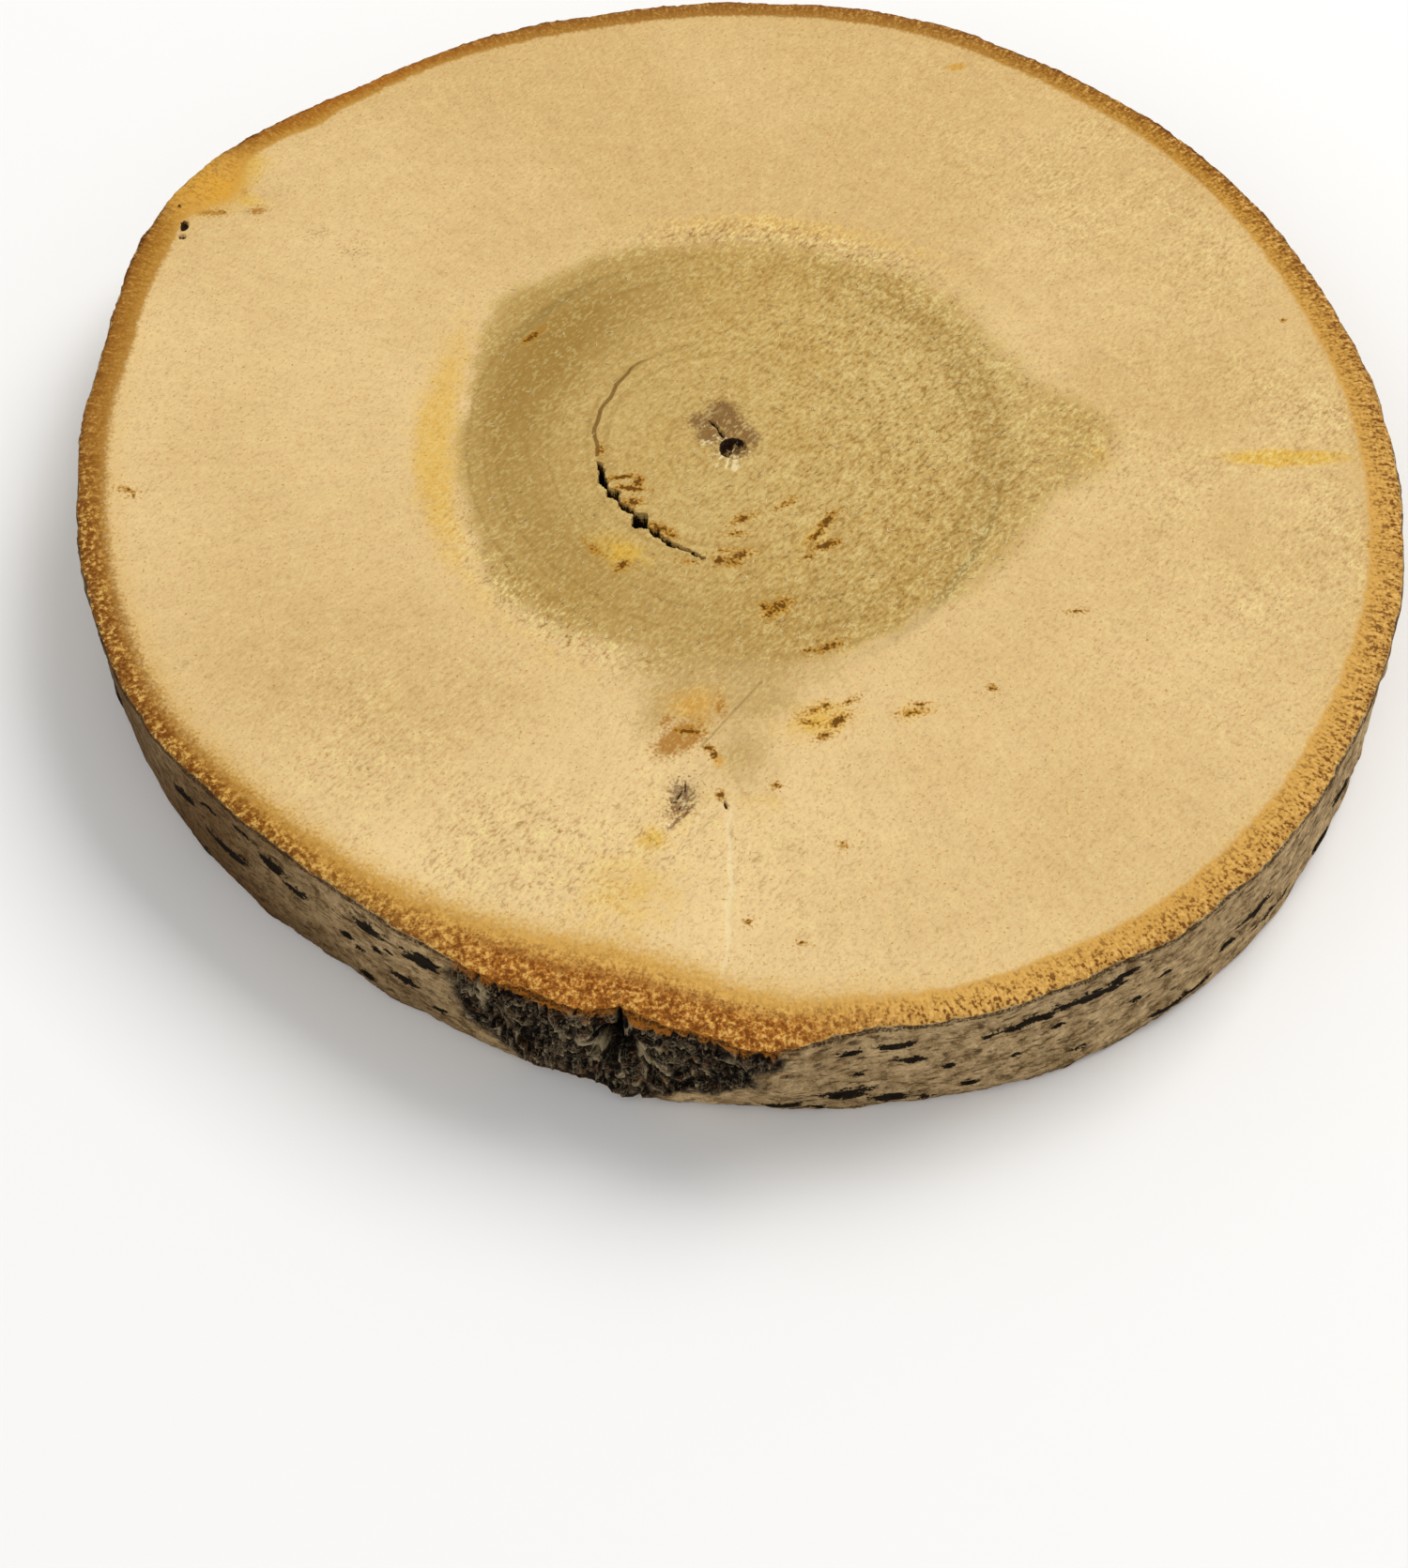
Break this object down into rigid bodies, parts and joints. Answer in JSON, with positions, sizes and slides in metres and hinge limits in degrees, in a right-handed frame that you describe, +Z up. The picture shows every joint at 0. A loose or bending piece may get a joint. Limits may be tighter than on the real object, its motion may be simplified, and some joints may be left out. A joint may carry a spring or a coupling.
{
  "type": "wood slice",
  "caption": "Round slice sawn across a smooth-barked branch, bark still on, with a stained heart, a ring crack, a small knot and a rough bark scar.",
  "frame": {"origin": "middle of the slice's box, on its sawn underside", "axes": "+Z up along the grain, through the thickness; -Y towards the old bark scar"},
  "size_m": [0.1112, 0.1148, 0.0117],
  "materials": {
    "wood": "bare pale wood as the saw left it, with a grey-brown stained heart and a rim of orange-brown inner bark in smooth grey bark with dark dashes"
  },
  "bodies": {
    "root": {"wood_slice": "wood"}
  },
  "joints": []
}
